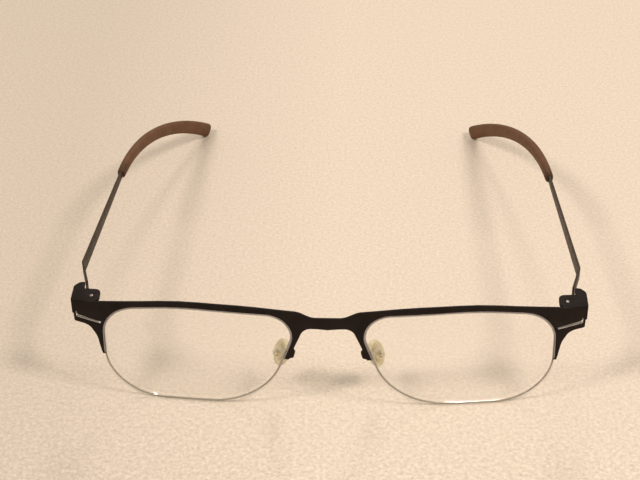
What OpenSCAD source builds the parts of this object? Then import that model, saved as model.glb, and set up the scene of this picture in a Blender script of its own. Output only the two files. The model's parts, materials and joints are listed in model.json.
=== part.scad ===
// Half rim eyeglasses, standing open on the lower lens edges and the two temple ends.
// The front faces -Y, the temples run back to +Y and +X is the wearer's left.

/* [Lenses] */
// Width of one lens
lens_w = 51.8; // [43:0.1:63]
// Height of one lens
lens_h = 33.4; // [28:0.1:41]
// Distance between the two lenses
lens_gap = 19.7; // [16:0.1:24]
// Thickness of a lens
lens_t = 2; // [1.7:0.1:3]
// Least depth of the groove round the lens edge
groove_d = 0.6; // [0.5:0.05:0.8]
// Width of the cord that holds the lower half of a lens
cord_w = 0.5; // [0.4:0.05:0.6]

/* [Front] */
// Radius of the face curve seen from above
face_r = 400; // [250:10:600]
// Thickness of the sheet metal
sheet = 0.6; // [0.5:0.05:0.8]
// Width of the end piece beside each lens
end_w = 7.5; // [6.2:0.1:9]
// Depth of the brow bar over each lens
brow_t = 2; // [1.6:0.1:3]
// Depth of the bridge
bridge_t = 3.8; // [3:0.1:5]
// Width of the slit that makes each tail springy
slit_w = 0.4; // [0.3:0.05:0.6]
// How far each tail reaches down, as a share of the lens height
tail_reach = 0.53; // [0.42:0.01:0.6]

/* [Hinges] */
// Diameter of the hinge pin
pin_d = 1; // [0.8:0.05:1.2]
// Height over the two hinge plates
hinge_h = 4.7; // [4:0.1:6]
// How far the hinge plates reach back
hinge_back = 7.9; // [6.6:0.1:9.6]
// Thickness of a friction washer
washer_t = 0.3; // [0.2:0.05:0.4]
// Running clearance round the pin and beside the washers
play = 0.03; // [0.02:0.01:0.05]

/* [Temples] */
// Run of the metal arm from its fold to the sleeve
arm_run = 48; // [40:0.5:58]
// Height of the arm at its fold
arm_front_h = 3.7; // [3.1:0.1:4.5]
// Height of the arm where it enters the sleeve
arm_back_h = 2.2; // [1.8:0.1:2.7]
// Angle at which the arms draw together
arm_in = 5; // [2:0.5:7]
// Angle at which the arms fall towards the ear
arm_down = 3.5; // [2:0.5:5]

/* [Sleeves] */
// Run of the sleeve along Y
tip_run = 64; // [53:0.5:77]
// Angle through which the sleeve turns inwards
tip_in = 23.5; // [15:0.5:28]
// Thickness of the sleeve
tip_t = 2.8; // [2.3:0.1:3.4]
// Height of the sleeve at its front end
tip_front_h = 3; // [2.6:0.1:3.6]
// Height of the sleeve at its free end
tip_back_h = 4.6; // [3.8:0.1:5.6]

/* [Nose pads] */
// Length of a nose pad
pad_l = 10; // [8.3:0.1:12]
// Width of a nose pad
pad_w = 6; // [5:0.1:7.2]
// Thickness of a nose pad
pad_t = 1.9; // [1.6:0.1:2.3]
// How far the pad centre stands behind the bridge
pad_back = 7.5; // [6.8:0.1:9]
// Outward lean of the pad's lower end
pad_lean = 20; // [14:1:24]
// Backward lean of the pad's lower end
pad_tilt = 12; // [6:1:16]
// Splay of the pads, opening towards the face
pad_splay = 30; // [22:1:36]

/* [Hidden] */
$fn = 64;

arc_step = 7;            // largest turn between two points of a rounded corner
gap = 0.05;              // clearance between pieces that are fitted together
pin_fit = 0.01;          // clearance of a pin in the holes that hold it
big = 300;               // longer than the whole object
left = 1;
right = -1;

metal_black = [0.13, 0.11, 0.1];
metal_brown = [0.3, 0.25, 0.2];
sleeve_brown = [0.44, 0.31, 0.21];
pad_cream = [0.87, 0.78, 0.62];
steel = [0.75, 0.73, 0.7];
clear = [0.85, 0.9, 0.9, 0.35];
nylon = [0.8, 0.8, 0.76];

// Places on the front, with X from the middle and Z from the lower lens edge.
lens_in = lens_gap / 2;
lens_out = lens_in + lens_w;
front_half = lens_out + end_w;
lens_mid = lens_in + lens_w / 2;
end_top = lens_h - 1.7;
end_low = end_top - 6.7;
lip = groove_d - 0.15;                   // how far the brow reaches into the groove
cord_z_in = lens_h * 0.56;               // where the cord is tied at the nose
cord_z_out = end_low - 2.3;              // where the cord is tied at the tail
prong_z = lens_h * 0.515;                // where the nose prong ends
lens_proud = (lens_t - sheet) / 2;       // how far the lens stands before the sheet
groove_depth = max(groove_d, cord_w + 2 * gap);
groove_back = max(sheet, cord_w + gap) + gap;
leg_drop = 0.4;                          // height of a cord leg below the end of its zone
leg_reach = 0.9;                         // how far a cord's leg runs into the sheet
leg_root = 0.35;                         // how far the leg starts inside the lens edge
knot_r = cord_w * 0.85;

// The hinge, seen from above.
hinge_top = end_top + 0.5;
hinge_low = hinge_top - hinge_h;
pin_x = front_half - 5;
pin_set_back = 2.85;
pin_y = face_y(pin_x) + pin_set_back;
plate_back = face_y(front_half) + hinge_back;
ear_back = pin_y + 3;
knuckle_r = pin_d / 2 + play + sheet;
knuckle_low = hinge_low + sheet + washer_t + 2 * play;
knuckle_top = hinge_top - sheet - washer_t - 2 * play;

// The temple's middle line: hinge, fold, sleeve front, free end.
fold_x = front_half - 0.5;
fold_y = face_y(front_half) + 16.9;
fold_top = hinge_top - 0.2;
tip_x = fold_x - arm_run * tan(arm_in);
tip_y = fold_y + arm_run;
tip_top = fold_top - arm_run * tan(arm_down);
tip_z = tip_top - arm_back_h / 2;
turn_in = arm_in + tip_in;
in_r = tip_run / (sin(turn_in) - sin(arm_in));
end_round = 0.8;
turn_down = settled_turn(arm_down + 35, 6);
down_r = tip_run / (sin(turn_down) - sin(arm_down));
tip_end_z = tip_z - down_r * (cos(arm_down) - cos(turn_down));
core_stop = 0.85;        // share of the sleeve that the metal core fills
core_h = arm_back_h - 0.6;

// Height of the sleeve's end centre at which its lower corner just touches the ground.
function end_rise(turn) = (tip_back_h / 2 - end_round) * cos(turn) - end_round * sin(turn) + end_round;
// Final slope of the sleeve, found by repeating the estimate a few times.
function slope_for(rise) = 2 * atan((tip_z - rise) / tip_run) - arm_down;
function settled_turn(turn, tries) = tries == 0 ? turn : settled_turn(slope_for(end_rise(turn)), tries - 1);

// The object is centred on its own box.
y_front = face_y(lens_in) - lens_proud;
end_reach = (tip_back_h / 2 - end_round) * sin(turn_down) + end_round * (1 - cos(turn_down));
y_back = tip_y + tip_run + end_reach;
y_mid = (y_front + y_back) / 2;

// Depth of the face curve at a distance from the middle.
function face_y(x) = face_r - sqrt(face_r * face_r - x * x);

// Points round one corner. A corner is [x, y, radius].
function turn_of(a, b) = acos(max(-1, min(1, (a * b) / (norm(a) * norm(b)))));
function flat2(p) = [p[0], p[1]];
function corner(before, at, after) =
    let (u = flat2(before) - flat2(at), v = flat2(after) - flat2(at))
    let (a = u / norm(u), b = v / norm(v), angle = turn_of(a, b))
    at[2] == 0 || angle > 179.5 ? [flat2(at)] :
    let (middle = flat2(at) + (a + b) / norm(a + b) * at[2] / sin(angle / 2))
    let (first = flat2(at) + a * at[2] / tan(angle / 2) - middle)
    let (way = cross(a, b) > 0 ? -1 : 1, sweep = 180 - angle, steps = ceil(sweep / arc_step))
    [for (i = [0 : steps]) middle + spun(first, way * sweep * i / steps)];
function spun(v, angle) = [v[0] * cos(angle) - v[1] * sin(angle), v[0] * sin(angle) + v[1] * cos(angle)];
function rounded(c) =
    let (n = len(c))
    [for (i = [0 : n - 1]) each corner(c[(i + n - 1) % n], c[i], c[(i + 1) % n])];

// A closed outline, counter-clockwise, moved outwards by d.
function unit(v) = v / norm(v);
function grown(pts, d) =
    let (n = len(pts))
    [for (i = [0 : n - 1])
        let (way = unit(pts[(i + 1) % n] - pts[(i + n - 1) % n]))
        pts[i] + d * [way[1], -way[0]]];

// A strip of even width along an open line.
function way_at(pts, i) = unit(pts[min(i + 1, len(pts) - 1)] - pts[max(i - 1, 0)]);
function miter(pts, i) =
    i == 0 || i == len(pts) - 1 ? 1 : 1 / cos(turn_of(pts[i] - pts[i - 1], way_at(pts, i)));
function edge_line(pts, d) =
    [for (i = [0 : len(pts) - 1]) let (way = way_at(pts, i)) pts[i] + d * miter(pts, i) * [-way[1], way[0]]];
function reversed(pts) = [for (i = [len(pts) - 1 : -1 : 0]) pts[i]];
function strip(pts, width) = concat(edge_line(pts, width / 2), reversed(edge_line(pts, -width / 2)));

// The lens outline, drawn for the wearer's left.
function lens_at(x, z, r) = [lens_in + lens_w * x, lens_h * z, lens_h * r];
lens_edge = rounded([
    lens_at(-0.06, 0.97, 0.225),
    lens_at(0.15, 0.011, 0.646),
    lens_at(1.007, -0.006, 0.463),
    lens_at(0.993, 0.922, 0.316),
    lens_at(0.592, 1.007, 2.14)]);
function inner_x(z) = lookup(z, [for (p = lens_edge) if (p[0] < lens_mid) [p[1], p[0]]]);
function outer_x(z) = lookup(z, [for (p = lens_edge) if (p[0] > lens_mid) [p[1], p[0]]]);

// One half of the front's outline, from the middle of the bridge round the tail and the nose prong.
bridge_top = lens_h - 1.8;
bridge_low = bridge_top - bridge_t;
half_outline = rounded([
    [0, bridge_top, 0],
    [lens_gap * 0.22, bridge_top, 5],
    [lens_in - 1.8, lens_h + 0.2, 5],
    [lens_in + lens_w * 0.23, lens_h + brow_t - 0.5, 70],
    [lens_in + lens_w * 0.58, lens_h + brow_t - 0.1, 70],
    [lens_out + 1.7, end_top + 0.6, 40],
    [front_half, end_top, 0.6],
    [front_half, end_low, 0.7],
    [lens_out + 3.4, end_low - 0.8, 3.5],
    [lens_out + 1.5, end_low - 4.6, 6],
    [lens_out + 0.7, end_top - lens_h * (tail_reach - 0.03), 0.3],
    [outer_x(end_top - lens_h * tail_reach) - 0.3, end_top - lens_h * tail_reach, 0],
    [lens_mid, lens_h * 0.5, 0],
    [inner_x(prong_z) + 0.5, prong_z - 0.3, 0],
    [lens_in - 0.5, prong_z + 0.6, 0.5],
    [lens_in - 1, prong_z + 2.6, 0.5],
    [lens_in - 0.5, prong_z + 3.6, 0.4],
    [lens_in - 3.4, bridge_low + 0.4, 3],
    [lens_in - 7, bridge_low + 0.3, 3],
    [0, bridge_low, 0]]);
slit_line = [
    [front_half - 0.9, end_low + 3.3],
    [front_half - 0.9, end_low + 1.8],
    [outer_x(end_low) - 1.2, end_low - 0.1]];

module sided(side)
{
    translate([0, -y_mid, 0])
    mirror([side == right ? 1 : 0, 0, 0])
    children();
}

// A flat outline in X and Z, pushed through the whole depth of the front.
module through(pts)
{
    translate([0, big / 2, 0])
    rotate([90, 0, 0])
    linear_extrude(big)
    polygon(pts);
}

// A layer that follows the face curve, from one distance before the front's face to another.
module layer(near, far)
{
    translate([0, face_r, -big / 4])
    difference()
    {
        cylinder(h = big / 2, r = face_r + near, $fn = 256);
        translate([0, 0, -1])
        cylinder(h = big / 2 + 2, r = face_r + far, $fn = 256);
    }
}

// The zone beside the lower half of a lens, where the cord lies in the groove.
module cord_zone()
{
    through([
        [lens_in - 3, cord_z_in], [lens_mid, cord_z_in], [lens_mid, cord_z_out],
        [lens_out + 3, cord_z_out], [lens_out + 3, -3], [lens_in - 3, -3]]);
}

// The two ends of the cord, each a short leg with a knot.
module cord_ends(width, knot)
{
    low = cord_z_in - leg_drop;
    high = cord_z_out - leg_drop;
    for (end = [[inner_x(low), low, -1], [outer_x(high), high, 1]])
    {
        root = end[0] - end[2] * leg_root;
        reach = end[0] + end[2] * leg_reach;
        through([
            [root, end[1] - width / 2],
            [root, end[1] + width / 2],
            [reach, end[1] + width / 2],
            [reach, end[1] - width / 2]]);
        translate([reach, big / 2, end[1]])
        rotate([90, 0, 0])
        cylinder(h = big, r = knot);
    }
}

module half_front_plate()
{
    difference()
    {
        through(half_outline);
        through(grown(lens_edge, -lip));
        intersection()
        {
            through(grown(lens_edge, gap));
            translate([0, 0, 0.2])
            cord_zone();
        }
        through(strip(slit_line, slit_w));
        cord_ends(cord_w + gap, knot_r + gap);
    }
}

// The two hinge plates and the wall that joins them on the outside.
module hinge_plates()
{
    plate = rounded([
        [pin_x - 0.6, face_y(pin_x - 0.6) + sheet / 2, 0],
        [front_half + 0.3, face_y(front_half) + 0.2, 0.3],
        [front_half + 0.4, plate_back - 1.9, 1.8],
        [pin_x + 4, plate_back - 0.3, 1],
        [pin_x + 2.5, plate_back, 0.4],
        [pin_x + 2.3, ear_back, 0.2],
        [pin_x - 2.2, ear_back - 0.3, 1.6],
        [pin_x - 2.3, pin_y - 1.4, 1.2]]);
    difference()
    {
        union()
        {
            for (z = [hinge_low, hinge_top - sheet])
                translate([0, 0, z])
                linear_extrude(sheet)
                polygon(plate);
            translate([front_half + 0.4 - sheet, face_y(front_half) + 0.3, hinge_low])
            cube([sheet, hinge_back - 4.4, hinge_h]);
        }
        translate([pin_x, pin_y, hinge_low - 1])
        cylinder(h = hinge_h + 2, d = pin_d + 2 * pin_fit);
    }
}

// The wire arm from the nose prong to the pad, ending in a lug with a pin hole.
lug_r = 0.75;
lug_t = 0.6;
lug_reach = 2.2;         // from the pin to the end of the lug, along the pad
lug_clear = 0.45;        // between the lug and the pad
pad_pin_d = 0.7;
pad_pin_x = pad_t / 2 + lug_r + lug_clear;
arm_wire = 0.42;
arm_bead = 0.46;         // rounding where the wire bends
pad_at = [lens_in + 2.9, pad_back, prong_z - 3.8];

module pad_place()
{
    translate(pad_at)
    rotate([pad_tilt, -pad_lean, 0])
    rotate([0, 0, -pad_splay])
    children();
}

function pad_point(p) =
    pad_at + turned_y(turned_x([each spun(flat2(p), -pad_splay), p[2]], pad_tilt), -pad_lean);
function turned_x(p, a) = [p[0], p[1] * cos(a) - p[2] * sin(a), p[1] * sin(a) + p[2] * cos(a)];
function turned_y(p, a) = [p[0] * cos(a) + p[2] * sin(a), p[1], -p[0] * sin(a) + p[2] * cos(a)];

module rod(from, to, r)
{
    run = to - from;
    translate(from)
    rotate([0, acos(run[2] / norm(run)), atan2(run[1], run[0])])
    cylinder(h = norm(run), r = r, $fn = 32);
}

module pad_arm()
{
    arm_x = lens_in - 0.1;
    points = [
        [arm_x, face_y(lens_in) + sheet / 2, prong_z + 1.6],
        [arm_x, face_y(lens_in) + lens_t + 1.2, prong_z + 1.3],
        pad_point([pad_pin_x, -pad_w * 0.4, pad_l * 0.36]),
        pad_point([pad_pin_x, 0, lug_reach])];
    for (i = [1 : len(points) - 1])
    {
        rod(points[i - 1], points[i], arm_wire);
        translate(points[i])
        sphere(r = arm_bead, $fn = 32);
    }
    difference()
    {
        pad_place()
        translate([pad_pin_x, lug_t / 2, 0])
        rotate([90, 0, 0])
        union()
        {
            cylinder(h = lug_t, r = lug_r);
            rotate([0, 0, 90])
            translate([0, -lug_r * 0.7, 0])
            cube([lug_reach, lug_r * 1.4, lug_t]);
        }
        pad_place()
        translate([pad_pin_x, big / 2, 0])
        rotate([90, 0, 0])
        cylinder(h = big, r = pad_pin_d / 2 + play);
    }
}

module front_half_part()
{
    intersection()
    {
        half_front_plate();
        layer(0, -sheet);
    }
    hinge_plates();
    pad_arm();
}

module front_frame()
{
    color(metal_black)
    for (side = [left, right])
        sided(side)
        front_half_part();
}

module lens(side)
{
    color(clear)
    sided(side)
    difference()
    {
        intersection()
        {
            through(lens_edge);
            layer(lens_proud, lens_proud - lens_t);
        }
        difference()
        {
            layer(gap, -groove_back);
            through(grown(lens_edge, -groove_depth));
        }
    }
}

module nylon_cord(side)
{
    color(nylon)
    sided(side)
    intersection()
    {
        layer(-gap, -gap - cord_w);
        union()
        {
            intersection()
            {
                difference()
                {
                    through(grown(lens_edge, -gap));
                    through(grown(lens_edge, -gap - cord_w));
                }
                cord_zone();
            }
            cord_ends(cord_w, knot_r);
        }
    }
}

module hinge_pin(side)
{
    color(steel)
    sided(side)
    translate([pin_x, pin_y, hinge_low - 0.15])
    cylinder(h = hinge_h + 0.3, d = pin_d);
}

module hinge_washers(side)
{
    color(nylon)
    sided(side)
    for (z = [hinge_low + sheet + play, hinge_top - sheet - play - washer_t])
        translate([pin_x, pin_y, z])
        difference()
        {
            cylinder(h = washer_t, r = knuckle_r);
            translate([0, 0, -1])
            cylinder(h = washer_t + 2, r = pin_d / 2 + play);
        }
}

// Points of the temple's middle line seen from above, up to a share of the sleeve.
function sleeve_x(h) = tip_x - in_r * (cos(arm_in) - cos(h));
function sleeve_y(h) = tip_y + in_r * (sin(h) - sin(arm_in));
function bend_from_above(share) =
    [for (i = [1 : 10]) let (h = arm_in + tip_in * share * i / 10) [sleeve_x(h), sleeve_y(h)]];

// Points along the sleeve seen from the side, at a distance above the middle line.
function side_y(t, rise) = tip_y + down_r * (sin(t) - sin(arm_down)) + rise * sin(t);
function side_z(t, rise) = tip_z - down_r * (cos(arm_down) - cos(t)) + rise * cos(t);
function bend_from_side(share, h0, h1, way) =
    [for (i = [0 : 14])
        let (t = arm_down + (turn_down - arm_down) * share * i / 14, h = h0 + (h1 - h0) * i / 14)
        [side_y(t, way * h / 2), side_z(t, way * h / 2)]];

// An outline in Y and Z, pushed through the whole width.
module across(pts)
{
    translate([-big / 2, 0, 0])
    rotate([90, 0, 90])
    linear_extrude(big)
    polygon(pts);
}

module arm_from_above(line, width)
{
    translate([0, 0, -1])
    linear_extrude(big / 4)
    polygon(strip(line, width));
}

arm_line = concat(
    [[pin_x + knuckle_r - sheet / 2, pin_y],
     [pin_x + 1.8, pin_y + 3.4],
     [pin_x + 2.1, plate_back + 0.3],
     [fold_x, fold_y]],
    [[tip_x, tip_y]],
    bend_from_above(core_stop));

core_top = bend_from_side(core_stop, core_h, core_h, 1);
core_low = bend_from_side(core_stop, core_h, core_h, -1);
arm_side = concat(
    [[pin_y - 2, knuckle_low], [plate_back + 0.4, knuckle_low]],
    [[plate_back + 0.4, fold_top - arm_front_h], [fold_y, fold_top - arm_front_h]],
    [[tip_y, tip_top - arm_back_h]],
    core_low,
    reversed(core_top),
    [[tip_y, tip_top]],
    [[fold_y, fold_top], [plate_back + 0.4, fold_top]],
    [[plate_back + 0.4, knuckle_top], [pin_y - 2, knuckle_top]]);

module temple(side)
{
    color(metal_brown)
    sided(side)
    difference()
    {
        union()
        {
            intersection()
            {
                arm_from_above(arm_line, sheet);
                across(arm_side);
            }
            translate([pin_x, pin_y, knuckle_low])
            cylinder(h = knuckle_top - knuckle_low, r = knuckle_r);
        }
        translate([pin_x, pin_y, knuckle_low - 1])
        cylinder(h = hinge_h, r = pin_d / 2 + play);
    }
}

tip_low_line = bend_from_side(1, tip_front_h, tip_back_h, -1);
tip_top_line = bend_from_side(1, tip_front_h, tip_back_h, 1);
tip_last = len(tip_low_line) - 1;
tip_side = rounded(concat(
    [for (i = [0 : tip_last]) [each tip_low_line[i], i == tip_last ? end_round : 0]],
    [for (i = [tip_last : -1 : 0]) [each tip_top_line[i], i == tip_last ? end_round : 0]]));

module temple_tip(side)
{
    line = concat([[tip_x + 0.1 * tan(arm_in), tip_y - 0.1]], [[tip_x, tip_y]], bend_from_above(1.1));
    core_room = core_stop + 0.01;
    hollow_h = core_h + 2 * gap;
    hollow = concat([[tip_x + 2 * tan(arm_in), tip_y - 2]], [[tip_x, tip_y]], bend_from_above(core_room));
    low = bend_from_side(core_room, hollow_h, hollow_h, -1);
    top = bend_from_side(core_room, hollow_h, hollow_h, 1);
    color(sleeve_brown)
    sided(side)
    difference()
    {
        intersection()
        {
            arm_from_above(line, tip_t);
            across(tip_side);
        }
        intersection()
        {
            arm_from_above(hollow, sheet + 2 * gap);
            across(concat([low[0] - [1, 0]], low, reversed(top), [top[0] - [1, 0]]));
        }
        // The front end is square to the arm, so nothing overhangs the arm's flat.
        translate([tip_x, tip_y + 0.01, 0])
        rotate([0, 0, arm_in])
        translate([-big / 2, -big, -big / 2])
        cube(big);
    }
}

// The stiff plate in the back of a pad, with two ears round the arm's lug.
ear_t = 0.4;
ear_gap = lug_t + 2 * gap;
clip_l = 4.4;
clip_w = 2.6;
clip_t = 0.5;

module pad_clip(side)
{
    color(steel)
    sided(side)
    pad_place()
    difference()
    {
        union()
        {
            translate([pad_t / 2 - clip_t, -clip_w / 2, -clip_l / 2])
            cube([clip_t, clip_w, clip_l]);
            for (way = [-1, 1])
                translate([0, way * (ear_gap + ear_t) / 2, 0])
                {
                    translate([pad_t / 2 - clip_t, -ear_t / 2, -lug_r])
                    cube([pad_pin_x - pad_t / 2 + clip_t, ear_t, 2 * lug_r]);
                    translate([pad_pin_x, ear_t / 2, 0])
                    rotate([90, 0, 0])
                    cylinder(h = ear_t, r = lug_r);
                }
        }
        translate([pad_pin_x, clip_w, 0])
        rotate([90, 0, 0])
        cylinder(h = 2 * clip_w, d = pad_pin_d + 2 * pin_fit);
    }
}

module pad_pin(side)
{
    pin_l = ear_gap + 2 * ear_t + 0.3;
    color(steel)
    sided(side)
    pad_place()
    translate([pad_pin_x, pin_l / 2, 0])
    rotate([90, 0, 0])
    cylinder(h = pin_l, d = pad_pin_d);
}

// A pad is an oval slice of a large ball, so its face towards the nose is domed.
pad_dome = 14;
pad_oval = [for (a = [0 : 10 : 350]) [pad_w / 2 * cos(a), pad_l / 2 * sin(a)]];

module nose_pad(side)
{
    color(pad_cream)
    sided(side)
    pad_place()
    difference()
    {
        intersection()
        {
            translate([-pad_t / 2, 0, 0])
            rotate([90, 0, 90])
            linear_extrude(pad_t)
            polygon(pad_oval);
            translate([pad_dome - pad_t / 2, 0, 0])
            sphere(r = pad_dome, $fn = 96);
        }
        translate([pad_t / 2 - clip_t, -clip_w / 2, -clip_l / 2])
        cube([clip_t + 1, clip_w, clip_l]);
    }
}

front_frame();
lens(left);  // left_lens
lens(right);  // right_lens
nylon_cord(left);  // left_nylon_cord
nylon_cord(right);  // right_nylon_cord
hinge_pin(left);  // left_hinge_pin
hinge_pin(right);  // right_hinge_pin
hinge_washers(left);  // left_hinge_washers
hinge_washers(right);  // right_hinge_washers
temple(left);  // left_temple
temple(right);  // right_temple
temple_tip(left);  // left_temple_tip
temple_tip(right);  // right_temple_tip
pad_clip(left);  // left_pad_clip
pad_clip(right);  // right_pad_clip
pad_pin(left);  // left_pad_pin
pad_pin(right);  // right_pad_pin
nose_pad(left);  // left_nose_pad
nose_pad(right);  // right_nose_pad
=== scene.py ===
"""Half rim eyeglasses, standing open on a pale table.

The front faces -Y, the temples run back to +Y and +X is the wearer's left. Lengths are in metres.
"""
import json
import math

import bmesh
import bpy
from mathutils import Matrix, Vector


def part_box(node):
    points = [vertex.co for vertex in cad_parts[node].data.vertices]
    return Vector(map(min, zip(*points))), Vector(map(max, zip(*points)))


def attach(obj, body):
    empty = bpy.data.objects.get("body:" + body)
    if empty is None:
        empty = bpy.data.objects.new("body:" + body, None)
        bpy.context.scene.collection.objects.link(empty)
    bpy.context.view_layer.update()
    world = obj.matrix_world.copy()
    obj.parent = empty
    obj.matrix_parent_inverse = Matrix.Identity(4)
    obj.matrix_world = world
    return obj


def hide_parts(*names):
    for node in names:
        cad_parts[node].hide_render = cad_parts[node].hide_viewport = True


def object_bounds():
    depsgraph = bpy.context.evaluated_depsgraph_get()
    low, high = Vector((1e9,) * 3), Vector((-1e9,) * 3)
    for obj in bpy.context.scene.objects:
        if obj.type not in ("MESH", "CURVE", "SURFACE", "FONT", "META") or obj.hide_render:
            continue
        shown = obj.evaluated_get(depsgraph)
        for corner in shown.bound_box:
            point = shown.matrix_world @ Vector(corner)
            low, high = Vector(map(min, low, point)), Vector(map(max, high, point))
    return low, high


MM = 0.001
SIDES = (("left", 1.0), ("right", -1.0))

# Sizes that the CAD model gives its pieces.
LENS_W = 51.8 * MM
LENS_H = 33.4 * MM
LENS_GAP = 19.7 * MM
LENS_T = 2.0 * MM
LENS_MIDDLE = LENS_GAP / 2 + LENS_W / 2
GROOVE_DEPTH = 0.6 * MM
GROOVE_WIDTH = 0.7 * MM
FACE_RADIUS = 400 * MM
SHEET_T = 0.6 * MM
CORD_R = 0.25 * MM
KNOT_R = 0.27 * MM
SMALL_PIN_R = 0.32 * MM
PAD_LENGTH = 10 * MM
PAD_WIDTH = 6 * MM
PAD_THICKNESS = 1.9 * MM
PAD_PIN_X = PAD_THICKNESS / 2 + 1.2 * MM
PAD_TILT = math.radians(12)
PAD_LEAN = math.radians(-20)
PAD_SPLAY = math.radians(-30)
SLEEVE_T = 2.8 * MM
SLEEVE_FRONT_H = 3.0 * MM
SLEEVE_BACK_H = 4.6 * MM
SLEEVE_CORNER = 0.8 * MM
ARM_IN = math.radians(5)
ARM_DOWN = math.radians(3.5)
SLEEVE_IN = math.radians(23.5)

# The lower wall of the slit in a tail, at its top, its bend and its lens end: X, Z and the way
# from the slit to the wall, in X and Z.
SLIT_WALL = ((68.39 * MM, 28.3 * MM, 1.0, 0.0),
             (68.39 * MM, 26.66 * MM, 0.8, -0.7),
             (61.9 * MM, 25.1 * MM, 0.235, -0.97))

# The lacquered edges over a cord's ends: lowest Z, highest Z and the Z of the knot.
TAIL_EDGE = (14.3 * MM, 23.6 * MM, 22.3 * MM)
PRONG_EDGE = (16.9 * MM, 20.5 * MM, 18.3 * MM)

# The ground groove shows above this share of the lens height.
GROUND_FROM = 0.45
# The pad wires are bare steel behind this depth, within this distance of the middle.
WIRE_FRONT = -65.2 * MM
WIRE_REACH = 20 * MM

EDGE_POINTS = 240
BEVEL_ANGLE = math.radians(24)
SHARP_ANGLE = math.radians(38)
WARM_WHITE = (1.0, 0.94, 0.86)

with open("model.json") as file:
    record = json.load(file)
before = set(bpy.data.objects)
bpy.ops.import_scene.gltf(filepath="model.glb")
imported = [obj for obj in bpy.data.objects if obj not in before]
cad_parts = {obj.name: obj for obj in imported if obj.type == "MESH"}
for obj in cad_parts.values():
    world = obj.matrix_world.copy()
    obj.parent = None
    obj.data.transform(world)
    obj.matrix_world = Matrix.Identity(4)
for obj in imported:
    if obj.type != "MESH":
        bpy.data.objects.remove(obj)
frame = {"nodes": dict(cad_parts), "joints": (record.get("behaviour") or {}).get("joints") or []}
cad_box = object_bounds()


# ---------------------------------------------------------------- node helpers

class Surface:
    """A material's node tree, with short calls for the nodes that it uses."""

    def __init__(self, name):
        self.material = bpy.data.materials.new(name)
        self.material.use_nodes = True
        self.tree = self.material.node_tree
        self.shader = self.tree.nodes["Principled BSDF"]
        self.place = self.add("ShaderNodeTexCoord").outputs["Object"]

    def add(self, kind, **values):
        node = self.tree.nodes.new(kind)
        for key, value in values.items():
            setattr(node, key, value)
        return node

    def link(self, source, target):
        self.tree.links.new(source, target)

    def set(self, **values):
        """Sets sockets of the shader to plain values."""
        for key, value in values.items():
            self.shader.inputs[key.replace("_", " ")].default_value = value

    def noise(self, size, detail=3.0, roughness=0.55, place=None):
        """Noise with features of about this size in metres."""
        node = self.add("ShaderNodeTexNoise")
        node.inputs["Scale"].default_value = 1 / size
        node.inputs["Detail"].default_value = detail
        node.inputs["Roughness"].default_value = roughness
        self.link(place or self.place, node.inputs["Vector"])
        return node.outputs["Fac"]

    def stretched(self, factors):
        """The place on the piece, scaled along each axis."""
        node = self.add("ShaderNodeMapping")
        node.inputs["Scale"].default_value = factors
        self.link(self.place, node.inputs["Vector"])
        return node.outputs["Vector"]

    def toned(self, colour, value):
        """The colour with its brightness multiplied by value."""
        node = self.add("ShaderNodeHueSaturation")
        self.link(colour, node.inputs["Color"])
        self.link(value, node.inputs["Value"])
        return node.outputs["Color"]

    def axes(self):
        """The X, Y and Z of a place on the piece."""
        node = self.add("ShaderNodeSeparateXYZ")
        self.link(self.place, node.inputs[0])
        return node.outputs

    def ramp(self, source, stops):
        """A colour ramp through stops, each a position and a colour."""
        node = self.add("ShaderNodeValToRGB")
        elements = node.color_ramp.elements
        while len(elements) < len(stops):
            elements.new(0.5)
        for element, (position, colour) in zip(elements, stops):
            element.position = position
            element.color = (*colour, 1)
        self.link(source, node.inputs["Fac"])
        return node.outputs["Color"]

    def levels(self, source, low, high, start=0.3, end=0.7):
        """source between start and end, spread over low to high."""
        node = self.add("ShaderNodeMapRange")
        ends = (("From Min", start), ("From Max", end), ("To Min", low), ("To Max", high))
        for name, value in ends:
            node.inputs[name].default_value = value
        self.link(source, node.inputs["Value"])
        return node.outputs["Result"]

    def math(self, kind, first, second, third):
        """A maths node on two sources and a number."""
        node = self.add("ShaderNodeMath", operation=kind)
        self.link(first, node.inputs[0])
        self.link(second, node.inputs[1])
        node.inputs[2].default_value = third
        return node.outputs["Value"]

    def bump(self, source, distance, strength, under=None):
        """A bumped normal, on top of another where one is given."""
        node = self.add("ShaderNodeBump")
        node.inputs["Distance"].default_value = distance
        node.inputs["Strength"].default_value = strength
        self.link(source, node.inputs["Height"])
        if under is not None:
            self.link(under, node.inputs["Normal"])
        return node.outputs["Normal"]

    def wire(self, **sources):
        """Links sources to sockets of the shader."""
        for key, source in sources.items():
            self.link(source, self.shader.inputs[key.replace("_", " ")])


def lacquer(name, dark, light, rough_low, rough_high):
    """Satin lacquer on sheet metal: a fine grain, faint clouds of tone and a few rubbed specks."""
    s = Surface(name)
    clouds = s.noise(6 * MM, 4)
    grain = s.noise(0.22 * MM, 2)
    s.wire(Base_Color=s.ramp(clouds, [(0.3, dark), (0.72, light)]))
    s.wire(Roughness=s.levels(s.noise(2.5 * MM, 5), rough_low, rough_high))
    s.wire(Normal=s.bump(grain, 0.012 * MM, 0.5, s.bump(clouds, 0.05 * MM, 0.4)))
    s.set(Specular_IOR_Level=0.12)
    return s.material


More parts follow.
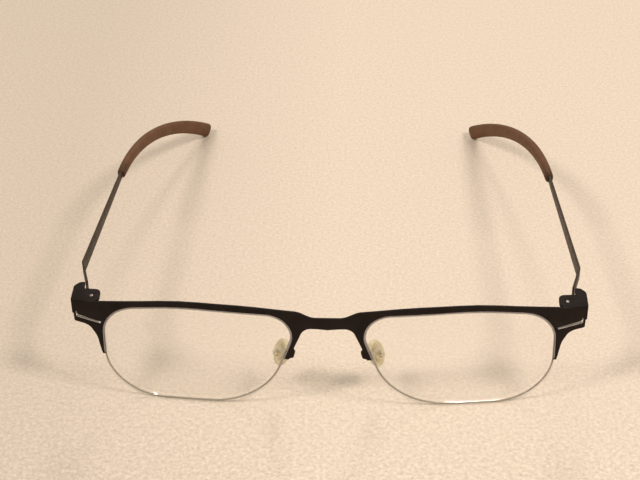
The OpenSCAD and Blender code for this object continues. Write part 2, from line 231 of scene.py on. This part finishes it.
def make_sleeve():
    """Matt moulded brown, a little darker towards the front end, with a soft skin texture."""
    s = Surface("moulded_brown")
    mottle = s.noise(4 * MM, 4)
    skin = s.noise(0.35 * MM, 3)
    colour = s.ramp(mottle, [(0.3, (0.106, 0.045, 0.019)), (0.7, (0.148, 0.066, 0.029))])
    s.wire(Base_Color=s.toned(colour, s.levels(s.axes()["Y"], 0.5, 1.0, 4 * MM, 11 * MM)))
    s.wire(Roughness=s.levels(s.noise(1.5 * MM), 0.55, 0.7))
    s.wire(Normal=s.bump(skin, 0.02 * MM, 0.6))
    s.set(Specular_IOR_Level=0.22)
    return s.material


def make_steel(name, dark, light, rough_low, rough_high):
    """Steel with fine brushing across the piece."""
    s = Surface(name)
    brushed = s.noise(0.15 * MM, 3, place=s.stretched((1, 1, 6)))
    s.wire(Base_Color=s.ramp(brushed, [(0.3, dark), (0.7, light)]))
    s.wire(Roughness=s.levels(brushed, rough_low, rough_high))
    s.set(Metallic=1.0)
    return s.material


def make_silicone():
    """Soft translucent cream, faintly clouded, with painted shade where its rim turns away."""
    s = Surface("cream_silicone")
    cloud = s.noise(2.2 * MM, 3)
    # painted shade: the colour darkens where the surface turns away from view, round the pad's rim
    rim = s.add("ShaderNodeLayerWeight")
    rim.inputs["Blend"].default_value = 0.35
    colour = s.ramp(cloud, [(0.3, (0.76, 0.67, 0.41)), (0.7, (0.86, 0.77, 0.52))])
    s.wire(Base_Color=s.toned(colour, s.levels(rim.outputs["Facing"], 1.0, 0.3, 0.35, 0.75)))
    s.wire(Roughness=s.levels(s.noise(0.8 * MM), 0.3, 0.42))
    s.wire(Normal=s.bump(s.noise(0.5 * MM), 0.015 * MM, 0.4))
    s.set(Subsurface_Weight=0.6, Subsurface_Scale=2.5 * MM, Transmission_Weight=0.22, IOR=1.2)
    s.shader.inputs["Subsurface Radius"].default_value = (1.0, 0.75, 0.45)
    return s.material


def make_nylon():
    """Drawn nylon, grey-brown and a little clear, streaked along Z."""
    s = Surface("clear_nylon")
    draw = s.noise(0.3 * MM, 2, place=s.stretched((1, 1, 0.2)))
    s.wire(Base_Color=s.ramp(draw, [(0.3, (0.26, 0.215, 0.165)), (0.7, (0.38, 0.32, 0.25))]))
    s.wire(Roughness=s.levels(draw, 0.4, 0.55))
    s.set(Transmission_Weight=0.2, IOR=1.4)
    return s.material


def make_lens_glass():
    """Clear lens: lamps shine through it, and the faintest cleaning haze breaks up its gloss."""
    s = Surface("clear_lens")
    haze = s.noise(9 * MM, 4)
    s.wire(Roughness=s.levels(haze, 0.0, 0.02))
    s.set(Base_Color=(0.94, 0.93, 0.89, 1), Transmission_Weight=1.0, IOR=1.5, Alpha=0.09)
    path = s.add("ShaderNodeLightPath")
    see = s.add("ShaderNodeBsdfTransparent")
    see.inputs["Color"].default_value = (0.93, 0.93, 0.92, 1)
    mix = s.add("ShaderNodeMixShader")
    s.link(path.outputs["Is Shadow Ray"], mix.inputs[0])
    s.link(s.shader.outputs["BSDF"], mix.inputs[1])
    s.link(see.outputs["BSDF"], mix.inputs[2])
    s.link(mix.outputs["Shader"], s.tree.nodes["Material Output"].inputs["Surface"])
    return s.material


def make_ground_edge():
    """The ground groove of a lens: matt, pale grey and half clear."""
    s = Surface("ground_edge")
    grit = s.noise(0.12 * MM, 2)
    s.wire(Base_Color=s.ramp(grit, [(0.3, (0.50, 0.44, 0.40)), (0.7, (0.66, 0.60, 0.56))]))
    s.wire(Roughness=s.levels(grit, 0.5, 0.7))
    s.set(Alpha=0.5)
    return s.material


def make_table():
    """Pale grained tabletop: coarser towards the front, with painted shade darkening it towards the
    left of the view.
    """
    s = Surface("table")
    fine = s.noise(0.9 * MM, 4, 0.75)
    broad = s.noise(11 * MM, 4)
    coarse = s.noise(1.3 * MM, 5, 0.7)
    colour = s.ramp(fine, [(0.36, (0.655, 0.545, 0.435)), (0.64, (0.785, 0.675, 0.56))])
    axes = s.axes()
    near = s.levels(axes["Y"], 0.2, 0.03, -100 * MM, -40 * MM)
    grain = s.math("MULTIPLY_ADD", s.levels(coarse, -1.0, 1.0), near, 1.0)
    # painted shade: the table's colour darkens towards the left of the view
    left = s.levels(axes["X"], 0.83, 1.0, -90 * MM, 0.0)
    s.wire(Base_Color=s.toned(colour, s.math("MULTIPLY", left, grain, 0.0)))
    s.wire(Normal=s.bump(fine, 0.1 * MM, 0.5, s.bump(broad, 0.5 * MM, 0.4)))
    s.set(Roughness=0.8, Specular_IOR_Level=0.2)
    return s.material


black = lacquer("black_lacquer", (0.008, 0.0046, 0.0032), (0.0145, 0.0088, 0.0064), 0.5, 0.66)
brown = lacquer("brown_lacquer", (0.040, 0.026, 0.016), (0.058, 0.040, 0.026), 0.42, 0.56)
sleeve_skin = make_sleeve()
steel = make_steel("pin_steel", (0.26, 0.23, 0.21), (0.42, 0.38, 0.34), 0.34, 0.46)
clip_steel = make_steel("satin_steel", (0.64, 0.56, 0.38), (0.80, 0.72, 0.52), 0.42, 0.56)
wire_steel = make_steel("wire_steel", (0.50, 0.44, 0.31), (0.64, 0.57, 0.42), 0.42, 0.55)
# bare cut steel, made paler than steel is, as a painted highlight for the glint along each slit's
# lower wall
bare_steel_painted_glint = make_steel("bare_edge_steel_painted_glint", (0.84, 0.80, 0.75), (0.95, 0.91, 0.86), 0.5, 0.62)
silicone = make_silicone()
nylon = make_nylon()
glass = make_lens_glass()
ground_edge = make_ground_edge()


# ---------------------------------------------------------------- mesh helpers

def new_piece(name, points, faces, material, smooth_angle=None):
    """An object with smooth shading, sharp only over the angle in degrees if one is given."""
    mesh = bpy.data.meshes.new(name)
    mesh.from_pydata([tuple(p) for p in points], [], faces)
    work = bmesh.new()
    work.from_mesh(mesh)
    bmesh.ops.recalc_face_normals(work, faces=work.faces)
    work.to_mesh(mesh)
    work.free()
    mesh.polygons.foreach_set("use_smooth", [True] * len(mesh.polygons))
    if smooth_angle is not None:
        mesh.set_sharp_from_angle(angle=math.radians(smooth_angle))
    mesh.materials.append(material)
    piece = bpy.data.objects.new(name, mesh)
    bpy.context.scene.collection.objects.link(piece)
    return piece


def settle(piece, body, slot, *nodes):
    """The piece rides on a body and stands for these CAD nodes; slot is not used."""
    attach(piece, body)
    if nodes:
        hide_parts(*nodes)
    return piece


def loft(rings):
    """Points and faces of a closed tube through rings that have the same number of points."""
    count = len(rings[0])
    points = [p for ring in rings for p in ring]
    faces = []
    for i in range(len(rings) - 1):
        for j in range(count):
            k = (j + 1) % count
            faces.append((i * count + j, i * count + k, (i + 1) * count + k, (i + 1) * count + j))
    for first in (0, (len(rings) - 1) * count):
        centre = sum((Vector(p) for p in points[first:first + count]), Vector()) / count
        points.append(centre)
        hub = len(points) - 1
        faces += [(first + j, first + (j + 1) % count, hub) for j in range(count)]
    return points, faces


def bevelled(node, name, body, slot, material, width):
    """A copy of a CAD node with its sheet edges broken by a small real bevel."""
    piece = bpy.data.objects.new(name, frame["nodes"][node].data.copy())
    bpy.context.scene.collection.objects.link(piece)
    work = bmesh.new()
    work.from_mesh(piece.data)
    bmesh.ops.remove_doubles(work, verts=work.verts, dist=0.0005 * MM)
    bmesh.ops.dissolve_limit(
        work, angle_limit=math.radians(0.4), verts=work.verts, edges=work.edges)
    work.to_mesh(piece.data)
    work.free()
    modifier = piece.modifiers.new("edges", "BEVEL")
    modifier.width = width
    modifier.segments = 2
    modifier.limit_method = "ANGLE"
    modifier.angle_limit = BEVEL_ANGLE
    modifier.use_clamp_overlap = True
    depsgraph = bpy.context.evaluated_depsgraph_get()
    mesh = bpy.data.meshes.new_from_object(piece.evaluated_get(depsgraph))
    piece.modifiers.clear()
    piece.data = mesh
    mesh.polygons.foreach_set("use_smooth", [True] * len(mesh.polygons))
    mesh.set_sharp_from_angle(angle=SHARP_ANGLE)
    mesh.materials.clear()
    mesh.materials.append(material)
    return settle(piece, body, slot, node)


# ---------------------------------------------------------------- front

def face_y(x):
    """Depth of the face curve behind the bridge, at a distance from the middle."""
    return FACE_RADIUS - math.sqrt(FACE_RADIUS ** 2 - x * x)


BRIDGE_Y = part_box("front_frame")[0].y


def corner_points(before, at, after, radius, step=math.radians(3)):
    """Points round one corner of a plane outline."""
    a = (before - at).normalized()
    b = (after - at).normalized()
    angle = a.angle(b)
    middle = at + (a + b).normalized() * radius / math.sin(angle / 2)
    first = at + a * radius / math.tan(angle / 2) - middle
    way = -1 if a.cross(b) > 0 else 1
    sweep = math.pi - angle
    steps = max(2, math.ceil(sweep / step))
    return [middle + Matrix.Rotation(way * sweep * i / steps, 2) @ first for i in range(steps + 1)]


def lens_outline():
    """The lens edge in X and Z for the wearer's left, anticlockwise."""
    # Each corner's place in shares of the width and height, and its radius in shares of the height.
    corners = [(-0.06, 0.97, 0.225), (0.15, 0.011, 0.646), (1.007, -0.006, 0.463),
               (0.993, 0.922, 0.316), (0.592, 1.007, 2.14)]
    at = [Vector((LENS_GAP / 2 + LENS_W * x, LENS_H * z)) for x, z, _ in corners]
    rough = []
    for i, (_, _, radius) in enumerate(corners):
        rough += corner_points(at[i - 1], at[i], at[(i + 1) % len(at)], radius * LENS_H)
    return evenly(rough, EDGE_POINTS)


def evenly(points, count):
    """A closed outline with points at even distances along it."""
    ends = points[1:] + points[:1]
    lengths = [(b - a).length for a, b in zip(points, ends)]
    step = sum(lengths) / count
    spread, travelled, target = [], 0.0, 0.0
    for a, b, length in zip(points, ends, lengths):
        while target < travelled + length - 1e-12 and len(spread) < count:
            spread.append(a.lerp(b, (target - travelled) / length))
            target += step
        travelled += length
    return spread


def outward(points):
    """Outward normals of a closed anticlockwise outline."""
    count = len(points)
    ways = [(points[(i + 1) % count] - points[i - 1]).normalized() for i in range(count)]
    return [Vector((way.y, -way.x)) for way in ways]


EDGE = lens_outline()
EDGE_OUT = outward(EDGE)


def on_face(side, x, z, back):
    """A point at this distance behind the front's face."""
    return Vector((side * x, BRIDGE_Y + face_y(x) + back, z))


def make_lens(name, side):
    """A meniscus lens with broken edges and a groove round it."""
    front = -(LENS_T - SHEET_T) / 2
    back = front + LENS_T
    groove_front = SHEET_T / 2 - GROOVE_WIDTH / 2
    groove_back = SHEET_T / 2 + GROOVE_WIDTH / 2
    broken = 0.12 * MM
    slant = 0.06 * MM
    bulge = 0.45 * MM
    # Distance outside the lens edge, and depth. The groove is the three bands from the fourth point.
    profile = [(-broken, front), (-broken / 3, front + broken / 3), (0, front + broken),
               (0, groove_front), (-GROOVE_DEPTH, groove_front + slant),
               (-GROOVE_DEPTH, groove_back - slant), (0, groove_back),
               (0, back - broken), (-broken / 3, back - broken / 3), (-broken, back)]
    centre = Vector((LENS_MIDDLE, LENS_H / 2))
    shares = [0.12, 0.3, 0.48, 0.64, 0.78, 0.88, 0.95]

    def ring(offset, depth, share):
        points = []
        for p, n in zip(EDGE, EDGE_OUT):
            q = centre + (p + n * offset - centre) * share
            lift = bulge * (1 - share * share) * (1 - share * share)
            points.append(on_face(side, q.x, q.y, depth - lift))
        return points

    rings = [ring(-broken, front, share) for share in shares]
    rings += [ring(offset, depth, 1) for offset, depth in profile]
    rings += [ring(-broken, back, share) for share in reversed(shares)]
    points, faces = loft(rings)
    piece = new_piece(name, points, faces, glass, 30)
    piece.data.materials.append(ground_edge)
    first_band = len(shares) + 3
    for face in piece.data.polygons[first_band * EDGE_POINTS:(first_band + 3) * EDGE_POINTS]:
        if face.center.z > GROUND_FROM * LENS_H:
            face.material_index = 1
    return settle(piece, "front", "clear_lens", name.replace("_blank", ""))


def tube(path, radius, segments=12):
    """A round tube along points, with rounded ends."""
    last = len(path) - 1
    ways = [(path[min(i + 1, last)] - path[max(i - 1, 0)]).normalized() for i in range(len(path))]
    normal = ways[0].orthogonal().normalized()
    rings = []
    for point, way in zip(path, ways):
        normal = (normal - way * normal.dot(way)).normalized()
        other = way.cross(normal)
        rings.append((point, normal, other, way))
    out = []
    tip_angles = (0.4, 0.9, 1.3)
    stations = [(rings[0], -math.cos(a), math.sin(a)) for a in tip_angles]
    stations += [(ring, 0.0, 1.0) for ring in rings]
    stations += [(rings[-1], math.cos(a), math.sin(a)) for a in reversed(tip_angles)]
    for (point, u, v, way), along, wide in stations:
        turns = [2 * math.pi * j / segments for j in range(segments)]
        out.append([point + way * along * radius
                    + (u * math.cos(t) + v * math.sin(t)) * radius * wide for t in turns])
    return loft(out)


def make_cord(side_name, side):
    """The round cord in the lens groove, with a knot in the tail and one in the nose prong."""
    nose_top = LENS_H * 0.56 - 0.4 * MM
    tail_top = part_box("left_nylon_cord")[1].z - 0.65 * MM
    seat = -0.05 * MM - CORD_R
    leg_out, leg_up = 1.15 * MM, 0.1 * MM
    bend = 0.6
    run = []
    for p, n in zip(EDGE, EDGE_OUT):
        q = p + n * seat
        if q.y < (nose_top if q.x < LENS_MIDDLE else tail_top):
            run.append(q)
    start = max(range(len(run)), key=lambda i: (run[i] - run[i - 1]).length)
    run = run[start:] + run[:start]
    legs = []
    for end in (run[0], run[-1]):
        sign = 1 if end.x > LENS_MIDDLE else -1
        legs.append(Vector((end.x + sign * leg_out, end.y + leg_up)))
    run = [legs[0], legs[0].lerp(run[0], bend)] + run + [legs[1].lerp(run[-1], bend), legs[1]]
    depth = SHEET_T / 2
    points, faces = tube([on_face(side, q.x, q.y, depth) for q in run], CORD_R)
    for leg in legs:
        knot = [on_face(side, leg.x, leg.y, depth + d * MM) for d in (-0.03, 0.0, 0.03)]
        more, more_faces = tube(knot, KNOT_R)
        faces += [tuple(i + len(points) for i in face) for face in more_faces]
        points += more
    piece = new_piece(side_name + "_cord", points, faces, nylon)
    return settle(piece, "front", "nylon", side_name + "_nylon_cord")


def make_slit_edge(name, side):
    """The bare lower wall of the slit in a tail, in pale steel that also paints in the glint along
    it.
    """
    half, inset = 0.06 * MM, 0.02 * MM
    corners = [(-half, inset), (half, inset), (half, SHEET_T - inset), (-half, SHEET_T - inset)]
    rings = []
    for x, z, way_x, way_z in SLIT_WALL:
        rings.append([on_face(side, x + way_x * out, z + way_z * out, deep)
                      for out, deep in corners])
    points, faces = loft(rings)
    piece = new_piece(name, points, faces, bare_steel_painted_glint, 30)
    return settle(piece, "front", "front_metal")


def make_rim_edge(name, side, outer, z_low, z_high, knot_z):
    """The lacquered edge that hides a cord's end and keeps the rim's line over the lens."""
    lip, skin = 0.42 * MM, 0.02 * MM
    narrow, wider_at_knot, knot_spread = 0.6 * MM, 0.85 * MM, 1.6 * MM
    rings = []
    for p, n in zip(EDGE, EDGE_OUT):
        if (p.x > LENS_MIDDLE) != outer or not z_low < p.y < z_high:
            continue
        near_knot = max(0.0, 1 - abs(p.y - knot_z) / knot_spread)
        reach = narrow + wider_at_knot * near_knot ** 0.5
        corners = [(-lip, -skin), (reach, -skin), (reach, SHEET_T + skin), (-lip, SHEET_T + skin)]
        rings.append([on_face(side, (p + n * out).x, (p + n * out).y, deep)
                      for out, deep in corners])
    points, faces = loft(rings)
    piece = new_piece(name, points, faces, black, 30)
    return settle(piece, "front", "front_metal")


# ---------------------------------------------------------------- sleeves

def sleeve_path(steps=40):
    """Points, headings, sideways ways and heights along the wearer's left sleeve."""
    low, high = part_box("left_temple_tip")
    turn_down = settled_slope(high.z - low.z)
    half = SLEEVE_FRONT_H / 2
    start = Vector((high.x - SLEEVE_T / 2 * math.cos(ARM_IN), low.y + half * math.sin(ARM_DOWN),
                    high.z - half * math.cos(ARM_DOWN)))
    reach = (SLEEVE_BACK_H / 2 - SLEEVE_CORNER) * math.sin(turn_down)
    reach += SLEEVE_CORNER * (1 - math.cos(turn_down))
    run = high.y - reach - start.y
    turn_in = ARM_IN + SLEEVE_IN
    in_radius = run / (math.sin(turn_in) - math.sin(ARM_IN))
    down_radius = run / (math.sin(turn_down) - math.sin(ARM_DOWN))
    stations = []
    for i in range(steps + 1):
        down = ARM_DOWN + (turn_down - ARM_DOWN) * i / steps
        along = down_radius * (math.sin(down) - math.sin(ARM_DOWN))
        aside = math.asin(along / in_radius + math.sin(ARM_IN))
        point = start + Vector((-in_radius * (math.cos(ARM_IN) - math.cos(aside)), along,
                                -down_radius * (math.cos(ARM_DOWN) - math.cos(down))))
        way = Vector((-math.tan(aside), 1, -math.tan(down))).normalized()
        flat = Vector((math.cos(aside), math.sin(aside), 0))
        height = SLEEVE_FRONT_H + (SLEEVE_BACK_H - SLEEVE_FRONT_H) * i / steps
        stations.append((point, way, flat, height))
    return stations


def settled_slope(drop):
    """Final slope of the sleeve, from how far its box falls."""
    run = 64 * MM
    slope = math.radians(40)
    for _ in range(8):
        rise = (SLEEVE_BACK_H / 2 - SLEEVE_CORNER) * math.cos(slope)
        rise += SLEEVE_CORNER - SLEEVE_CORNER * math.sin(slope)
        fall = drop - SLEEVE_FRONT_H / 2 * math.cos(ARM_DOWN) - rise
        slope = 2 * math.atan(fall / run) - ARM_DOWN
    return slope


def oval(point, way, flat, width, height, squareness, segments=28):
    """A ring with rounded corners, upright across the heading; a lower squareness is squarer."""
    up = flat.cross(way).normalized()
    ring = []
    for j in range(segments):
        t = 2 * math.pi * j / segments
        c, s = math.cos(t), math.sin(t)
        x = math.copysign(abs(c) ** squareness, c) * width / 2
        z = math.copysign(abs(s) ** squareness, s) * height / 2
        ring.append(point + flat * x + up * z)
    return ring


def make_sleeve_piece(side_name, side):
    """A moulded sleeve with a rounded lip and a rounded free end."""
    stations = sleeve_path()
    rings = []
    slim = 0.86
    # Distance from the end of the sleeve in millimetres, and share of the full section.
    front_lip = ((0.0, 0.62), (0.12, 0.84), (0.35, 0.97), (0.7, 1.0))
    free_end = ((0.75, 0.985), (0.4, 0.93), (0.15, 0.82), (0.02, 0.66), (0.0, 0.4))
    point, way, flat, height = stations[0]
    for ahead, share in front_lip:
        wide = SLEEVE_T * slim * share
        rings.append(oval(point + way * ahead * MM, way, flat, wide, height * share, 0.8))
    for i, (point, way, flat, height) in enumerate(stations[1:-1]):
        along = (i + 1) / len(stations)
        wide = SLEEVE_T * (slim + (1 - slim) * min(1, along * 3))
        rings.append(oval(point, way, flat, wide, height, 0.78))
    point, way, flat, height = stations[-1]
    for back, share in free_end:
        wide = SLEEVE_T * share
        rings.append(oval(point - way * back * MM, way, flat, wide, height * share, 0.72))
    rings = [[Vector((side * p.x, p.y, p.z)) for p in ring] for ring in rings]
    points, faces = loft(rings)
    piece = new_piece(side_name + "_sleeve", points, faces, sleeve_skin)
    return settle(piece, side_name + "_arm", "sleeve", side_name + "_temple_tip")


# ---------------------------------------------------------------- nose pads

def pad_frame(side):
    """Turns a pad's own axes, thickness, width and length, into the row frame."""
    turn = Matrix.Rotation(PAD_LEAN, 4, "Y") @ Matrix.Rotation(PAD_TILT, 4, "X")
    turn = turn @ Matrix.Rotation(PAD_SPLAY, 4, "Z")
    joint = next(j for j in frame["joints"] if j["name"] == "left_pad_rock")
    place = Vector(joint["pos_m"]) - turn.to_3x3() @ Vector((PAD_PIN_X, 0, 0))
    return Matrix.Diagonal((side, 1, 1, 1)) @ Matrix.Translation(place) @ turn


def make_pad(side_name, side):
    """A soft oval pad: domed towards the nose, dished behind, with a full round rim."""
    place = pad_frame(side)
    segments = 48
    half = PAD_THICKNESS / 2
    # Share of the oval, depth: from the domed face over the rim to the dished back.
    profile = [(0.25, -half + 0.02 * MM), (0.5, -half + 0.1 * MM), (0.72, -half + 0.27 * MM),
               (0.88, -half + 0.55 * MM), (0.97, -half + 0.92 * MM), (1.0, -half + 1.25 * MM),
               (0.985, half - 0.28 * MM), (0.94, half - 0.08 * MM), (0.87, half),
               (0.78, half - 0.08 * MM), (0.66, half - 0.22 * MM), (0.4, half - 0.3 * MM)]
    rings = []
    for share, depth in profile:
        ring = []
        for j in range(segments):
            t = 2 * math.pi * j / segments
            y = PAD_WIDTH / 2 * share * math.cos(t)
            z = PAD_LENGTH / 2 * share * math.sin(t)
            ring.append(place @ Vector((depth, y, z)))
        rings.append(ring)
    points, faces = loft(rings)
    piece = new_piece(side_name + "_pad", points, faces, silicone)
    return settle(piece, side_name + "_pad", "silicone", side_name + "_nose_pad")


def make_small_pin(side_name, side):
    """The pin on which a pad rocks, with domed ends."""
    place = pad_frame(side)
    path = [place @ Vector((PAD_PIN_X, y * MM, 0)) for y in (-0.62, -0.2, 0.2, 0.62)]
    points, faces = tube(path, SMALL_PIN_R, 20)
    piece = new_piece(side_name + "_small_pin", points, faces, steel)
    return settle(piece, side_name + "_pad", "steel", side_name + "_pad_pin")


# ---------------------------------------------------------------- the object

front = bevelled("front_frame", "front", "front", "front_metal", black, 0.06 * MM)
front.data.materials.append(wire_steel)
for face in front.data.polygons:
    if abs(face.center.x) < WIRE_REACH and face.center.y > WIRE_FRONT:
        face.material_index = len(front.data.materials) - 1
for side_name, side in SIDES:
    make_lens(side_name + "_lens_blank", side)
    make_cord(side_name, side)
    make_slit_edge(side_name + "_slit_edge", side)
    make_rim_edge(side_name + "_tail_edge", side, True, *TAIL_EDGE)
    make_rim_edge(side_name + "_prong_edge", side, False, *PRONG_EDGE)
    make_sleeve_piece(side_name, side)
    make_pad(side_name, side)
    for node, name, body, slot, material, width in (
            ("_temple", "_arm_sheet", side_name + "_arm", "temple_metal", brown, 0.05 * MM),
            ("_hinge_pin", "_pin", "front", "steel", steel, 0.12 * MM),
            ("_hinge_washers", "_washers", "front", "nylon", nylon, 0.04 * MM),
            ("_pad_clip", "_clip", side_name + "_pad", "steel", clip_steel, 0.05 * MM)):
        bevelled(side_name + node, side_name + name, body, slot, material, width)
    make_small_pin(side_name, side)


# ---------------------------------------------------------------- stage, lights and camera

def make_floor():
    """A wide table under the object's lowest point."""
    bpy.ops.mesh.primitive_plane_add(size=6, location=(0, 0, cad_box[0][2]))
    floor = bpy.context.object
    floor.name = "table_top"
    floor.data.materials.append(make_table())


def lamp(name, towards, distance, size, power, colour):
    """A square lamp that shines on the object from this direction."""
    data = bpy.data.lights.new(name, "AREA")
    data.size = size
    data.energy = power
    data.color = colour
    piece = bpy.data.objects.new(name, data)
    bpy.context.scene.collection.objects.link(piece)
    way = Vector(towards).normalized()
    piece.location = way * distance
    piece.rotation_euler = way.to_track_quat("Z", "Y").to_euler()


def make_world():
    """An even warm room light."""
    world = bpy.data.worlds.new("room")
    world.use_nodes = True
    background = world.node_tree.nodes["Background"]
    background.inputs["Color"].default_value = (1.0, 0.93, 0.85, 1)
    background.inputs["Strength"].default_value = 0.5
    bpy.context.scene.world = world


def make_camera():
    """A long lens that looks down on the front, a little from the wearer's left."""
    aim = Vector((-4.2, -6.7, 11.3)) * MM
    distance = 500 * MM
    azimuth = math.radians(2.28)
    elevation = math.radians(37.48)
    roll = math.radians(-0.7)
    data = bpy.data.cameras.new("camera")
    data.lens = 93.0
    data.sensor_width = 36
    data.clip_start = 0.01
    camera = bpy.data.objects.new("camera", data)
    bpy.context.scene.collection.objects.link(camera)
    back = Vector((math.sin(azimuth) * math.cos(elevation),
                   -math.cos(azimuth) * math.cos(elevation), math.sin(elevation)))
    turn = Matrix.Rotation(azimuth, 4, "Z") @ Matrix.Rotation(math.pi / 2 - elevation, 4, "X")
    turn = turn @ Matrix.Rotation(roll, 4, "Z")
    camera.matrix_world = Matrix.Translation(aim + back * distance) @ turn
    bpy.context.scene.camera = camera


make_floor()
make_world()
lamp("front_left", (-29, -20, 46), 1.6, 0.3, 10.0, WARM_WHITE)
lamp("front_right", (28, -14, 42), 1.6, 0.3, 10.5, WARM_WHITE)
lamp("back", (3, 30, 27), 1.8, 0.3, 5.5, (1.0, 0.94, 0.87))
make_camera()
bpy.context.scene.view_settings.view_transform = "Standard"
